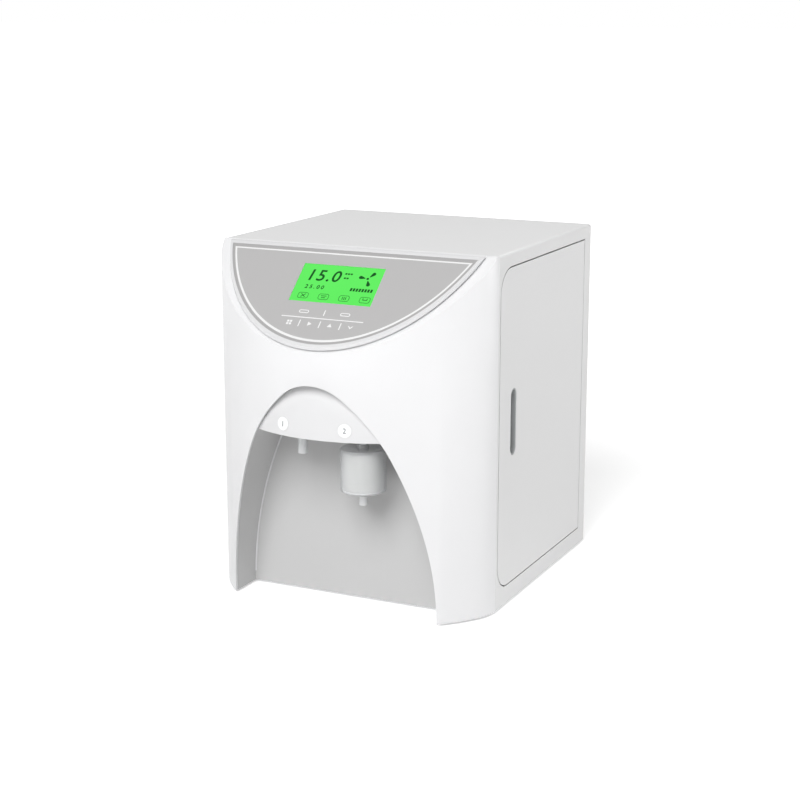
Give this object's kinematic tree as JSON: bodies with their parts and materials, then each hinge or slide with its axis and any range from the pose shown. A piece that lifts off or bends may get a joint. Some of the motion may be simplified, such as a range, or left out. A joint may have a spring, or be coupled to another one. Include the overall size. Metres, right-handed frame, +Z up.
{
  "type": "ultrapure water system",
  "caption": "Bench-top ultrapure water system with a bow front, arched dispensing bay, sloped display panel and a hinged service door.",
  "frame": {"origin": "centre of the footprint on the bench", "axes": "+Z up, the bow front and its bay face -Y, the service door is on the +X side"},
  "size_m": [0.339, 0.422, 0.403],
  "materials": {
    "cover_plastic": "satin moulded white plastic",
    "liner_plastic": "satin moulded pale grey plastic",
    "housing_paint": "fine textured powder coat, pale grey-white",
    "chassis_metal": "zinc-plated sheet",
    "film": "printed polyester overlay, mid grey",
    "print_white": "screen print",
    "frame_black": "black moulding",
    "display": "backlit green display",
    "display_ink": "dark green segments",
    "board_green": "solder resist on laminate",
    "key_plastic": "natural plastic plungers",
    "label": "blank paper-faced label",
    "nozzle_plastic": "pale grey plastic",
    "filter_plastic": "translucent natural plastic",
    "membrane": "pleated membrane",
    "pull_grey": "grey moulded cup",
    "pin_steel": "bright pins and screws",
    "magnet": "magnet blocks in dark housings",
    "rubber": "moulded rubber",
    "head_plastic": "white moulded heads",
    "cartridge_plastic": "white blow-moulded body with a blank wrap label",
    "vessel_plastic": "white pressure vessel",
    "column_plastic": "pale blue-grey column",
    "saddle_plastic": "grey moulded saddles",
    "motor_paint": "black painted motor can",
    "pump_plastic": "glass-filled black plastic",
    "supply_metal": "plain sheet case",
    "valve_plastic": "pale plastic body and coil",
    "cell_plastic": "pale plastic cell",
    "tube_plastic": "translucent polyethylene tube",
    "fitting_plastic": "white acetal fittings",
    "collet_blue": "blue acetal collets",
    "black_plastic": "black moulded plastic",
    "rocker_black": "black gloss rocker"
  },
  "bodies": {
    "body": {"front_cover": "cover_plastic", "panel_bezel": "cover_plastic", "panel_film": "film", "panel_marks": "print_white", "display_frame": "frame_black", "display_glass": "display", "display_digits": "display_ink", "key_board": "board_green", "outlet_hood": "cover_plastic", "bay_liner": "liner_plastic", "label_discs": "label", "ro_nozzle": "nozzle_plastic", "filter_adapter": "nozzle_plastic", "housing_shell": "housing_paint", "door_frame": "chassis_metal", "hinge_pins": "pin_steel", "door_magnets": "magnet", "base_tray": "chassis_metal", "feet": "rubber", "rear_panel": "housing_paint", "rear_screws": "pin_steel", "bulkhead": "chassis_metal", "cartridge_rail": "chassis_metal", "cartridge_heads": "head_plastic", "membrane_vessel": "vessel_plastic", "polishing_column": "column_plastic", "vessel_saddles": "saddle_plastic", "pump_motor": "motor_paint", "pump_head": "pump_plastic", "power_supply": "supply_metal", "control_board": "board_green", "solenoid_valves": "valve_plastic", "conductivity_cell": "cell_plastic", "port_tubes": "tube_plastic", "pump_tube": "tube_plastic", "membrane_tube": "tube_plastic", "ro_tube": "tube_plastic", "product_tube": "tube_plastic", "port_unions": "fitting_plastic", "mains_inlet": "black_plastic", "power_switch": "black_plastic"},
    "door": {"service_door": "housing_paint", "door_pull": "pull_grey"},
    "filter": {"filter_shell": "filter_plastic", "filter_core": "membrane"},
    "fuse_drawer": {"fuse_drawer": "black_plastic"},
    "rocker": {"power_rocker": "rocker_black"},
    "key_1": {"key_1": "key_plastic"},
    "key_2": {"key_2": "key_plastic"},
    "key_3": {"key_3": "key_plastic"},
    "key_4": {"key_4": "key_plastic"},
    "key_5": {"key_5": "key_plastic"},
    "key_6": {"key_6": "key_plastic"},
    "cartridge_1": {"cartridge_1": "cartridge_plastic"},
    "cartridge_2": {"cartridge_2": "cartridge_plastic"},
    "cartridge_3": {"cartridge_3": "cartridge_plastic"},
    "collet_1": {"collet_1": "collet_blue"},
    "collet_2": {"collet_2": "collet_blue"},
    "collet_3": {"collet_3": "collet_blue"},
    "collet_4": {"collet_4": "collet_blue"}
  },
  "joints": [
    {"name": "door_hinge", "type": "hinge", "parent": "body", "child": "door", "pos_m": [0.1645, 0.159, 0.2055], "axis": [0, 0, 1], "range_deg": [0, 100]},
    {"name": "key_1_press", "type": "slide", "parent": "body", "child": "key_1", "axis": [0, 0.6691, -0.7431], "range_m": [0, 0.00025], "stiffness_N_per_m": 6000},
    {"name": "key_2_press", "type": "slide", "parent": "body", "child": "key_2", "axis": [0, 0.6691, -0.7431], "range_m": [0, 0.00025], "stiffness_N_per_m": 6000},
    {"name": "key_3_press", "type": "slide", "parent": "body", "child": "key_3", "axis": [0, 0.6691, -0.7431], "range_m": [0, 0.00025], "stiffness_N_per_m": 6000},
    {"name": "key_4_press", "type": "slide", "parent": "body", "child": "key_4", "axis": [0, 0.6691, -0.7431], "range_m": [0, 0.00025], "stiffness_N_per_m": 6000},
    {"name": "key_5_press", "type": "slide", "parent": "body", "child": "key_5", "axis": [0, 0.6691, -0.7431], "range_m": [0, 0.00025], "stiffness_N_per_m": 6000},
    {"name": "key_6_press", "type": "slide", "parent": "body", "child": "key_6", "axis": [0, 0.6691, -0.7431], "range_m": [0, 0.00025], "stiffness_N_per_m": 6000},
    {"name": "filter_pull", "type": "slide", "parent": "body", "child": "filter", "axis": [0, 0, -1], "range_m": [0, 0.014]},
    {"name": "cartridge_1_turn", "type": "hinge", "parent": "body", "child": "cartridge_1", "pos_m": [0.10975, -0.04025, 0.2], "axis": [0, 0, 1], "range_deg": [0, 90]},
    {"name": "cartridge_2_turn", "type": "hinge", "parent": "body", "child": "cartridge_2", "pos_m": [0.10975, 0.03975, 0.2], "axis": [0, 0, 1], "range_deg": [0, 90]},
    {"name": "cartridge_3_turn", "type": "hinge", "parent": "body", "child": "cartridge_3", "pos_m": [0.10975, 0.11975, 0.2], "axis": [0, 0, 1], "range_deg": [0, 90]},
    {"name": "collet_1_press", "type": "slide", "parent": "body", "child": "collet_1", "axis": [0, -1, 0], "range_m": [0, 0.0015]},
    {"name": "collet_2_press", "type": "slide", "parent": "body", "child": "collet_2", "axis": [0, -1, 0], "range_m": [0, 0.0015]},
    {"name": "collet_3_press", "type": "slide", "parent": "body", "child": "collet_3", "axis": [0, -1, 0], "range_m": [0, 0.0015]},
    {"name": "collet_4_press", "type": "slide", "parent": "body", "child": "collet_4", "axis": [0, -1, 0], "range_m": [0, 0.0015]},
    {"name": "fuse_drawer_slide", "type": "slide", "parent": "body", "child": "fuse_drawer", "axis": [0, 1, 0], "range_m": [0, 0.012]},
    {"name": "power_rocker_tilt", "type": "hinge", "parent": "body", "child": "rocker", "pos_m": [-0.058, 0.192, 0.037], "axis": [-1, 0, 0], "range_deg": [0, 16]}
  ]
}
